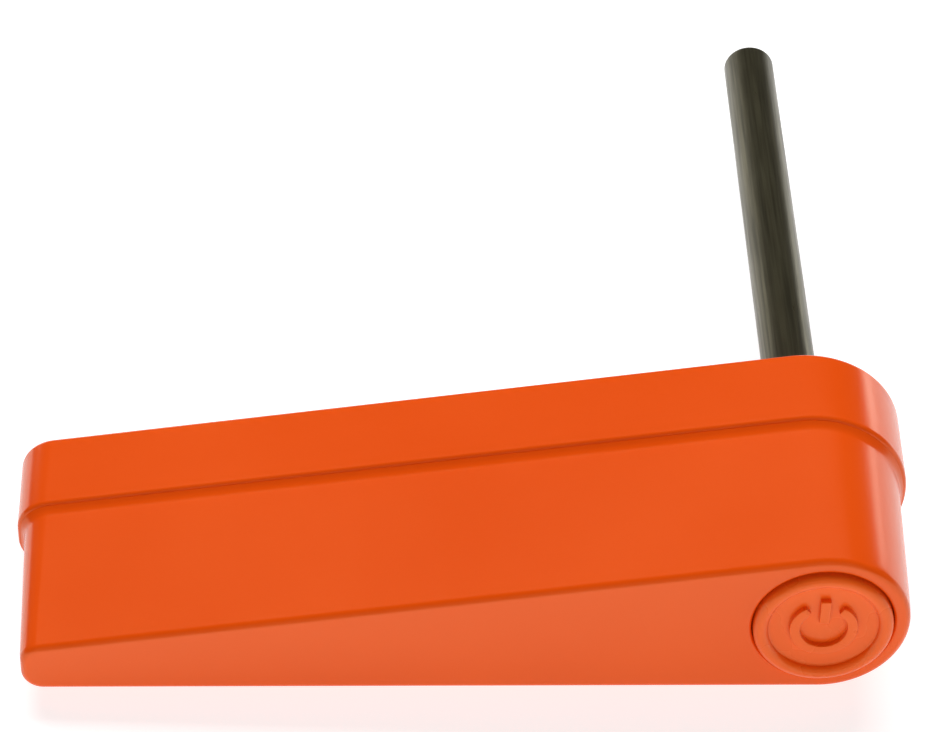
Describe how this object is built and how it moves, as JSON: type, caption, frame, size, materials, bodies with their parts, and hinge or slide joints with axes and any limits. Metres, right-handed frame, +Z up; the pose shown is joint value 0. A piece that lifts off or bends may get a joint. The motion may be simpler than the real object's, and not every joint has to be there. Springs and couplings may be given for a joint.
{
  "type": "pinpointer probe",
  "caption": "Hand-held pinpointer probe: drafted wedge-shaped case with a screwed rear cover, a round sprung thumb button and a slim sensing rod.",
  "frame": {"origin": "on the sensing rod's axis where it leaves the rear face of the cover", "axes": "+Y along the rod to its tip, +X along the grip towards the round end, +Z up with the case lying on its lower wide side"},
  "size_m": [0.1595, 0.1663, 0.0366],
  "materials": {
    "case_plastic": "gloss",
    "button_plastic": "gloss",
    "gasket_rubber": "matte",
    "screw_steel": "satin",
    "insert_brass": "satin",
    "spring_steel": "satin",
    "switch_plastic": "satin",
    "plunger_plastic": "satin",
    "board_laminate": "satin",
    "probe_composite": "satin",
    "ferrite": "matte",
    "former_plastic": "matte",
    "copper_wire": "satin",
    "plug_resin": "matte",
    "bush_brass": "satin",
    "clamp_steel": "satin",
    "battery_jacket": "satin",
    "snap_plastic": "matte",
    "foam": "matte",
    "sounder_plastic": "satin",
    "trimmer_plastic": "satin",
    "rotor_brass": "satin",
    "chip_plastic": "matte",
    "can_jacket": "satin",
    "film_plastic": "gloss",
    "resistor_body": "satin",
    "transistor_plastic": "matte",
    "socket_plastic": "satin",
    "lead_jacket": "satin"
  },
  "bodies": {
    "case": {"front_housing": "case_plastic", "rear_cover": "case_plastic", "cover_gasket": "gasket_rubber", "cover_screws": "screw_steel", "thread_inserts": "insert_brass", "button_spring": "spring_steel", "switch_body": "switch_plastic", "switch_board": "board_laminate", "switch_screws": "screw_steel", "probe_tube": "probe_composite", "ferrite_core": "ferrite", "coil_former": "former_plastic", "transmit_winding": "copper_wire", "receive_winding_front": "copper_wire", "receive_winding_rear": "copper_wire", "tube_plug": "plug_resin", "probe_bush": "bush_brass", "probe_seal": "gasket_rubber", "clamp_plate": "clamp_steel", "clamp_screws": "screw_steel", "battery": "battery_jacket", "battery_snap": "snap_plastic", "battery_pad": "foam", "circuit_board": "board_laminate", "board_pad": "foam", "sounder": "sounder_plastic", "trimmer_body": "trimmer_plastic", "integrated_circuits": "chip_plastic", "electrolytic_capacitors": "can_jacket", "film_capacitors": "film_plastic", "resistors": "resistor_body", "transistors": "transistor_plastic", "lead_socket": "socket_plastic", "battery_leads": "lead_jacket", "switch_leads": "lead_jacket", "probe_leads": "lead_jacket"},
    "button": {"thumb_button": "button_plastic", "button_clip": "spring_steel"},
    "plunger": {"switch_plunger": "plunger_plastic"},
    "trimmer": {"trimmer_rotor": "rotor_brass"}
  },
  "joints": [
    {"name": "button_press", "type": "slide", "parent": "case", "child": "button", "axis": [0, 1, 0], "range_m": [0, 0.001], "stiffness_N_per_m": 500, "springref_m": -0.004, "deforming": ["button_spring"]},
    {"name": "plunger_press", "type": "slide", "parent": "case", "child": "plunger", "axis": [0, 1, 0], "range_m": [0, 0.001]},
    {"name": "trimmer_turn", "type": "hinge", "parent": "case", "child": "trimmer", "pos_m": [-0.1055, -0.007, -0.007], "axis": [0, 1, 0], "range_deg": [-135, 135]}
  ],
  "couplings": [
    {"joint": "plunger_press", "follows": "button_press", "ratio": 1}
  ]
}
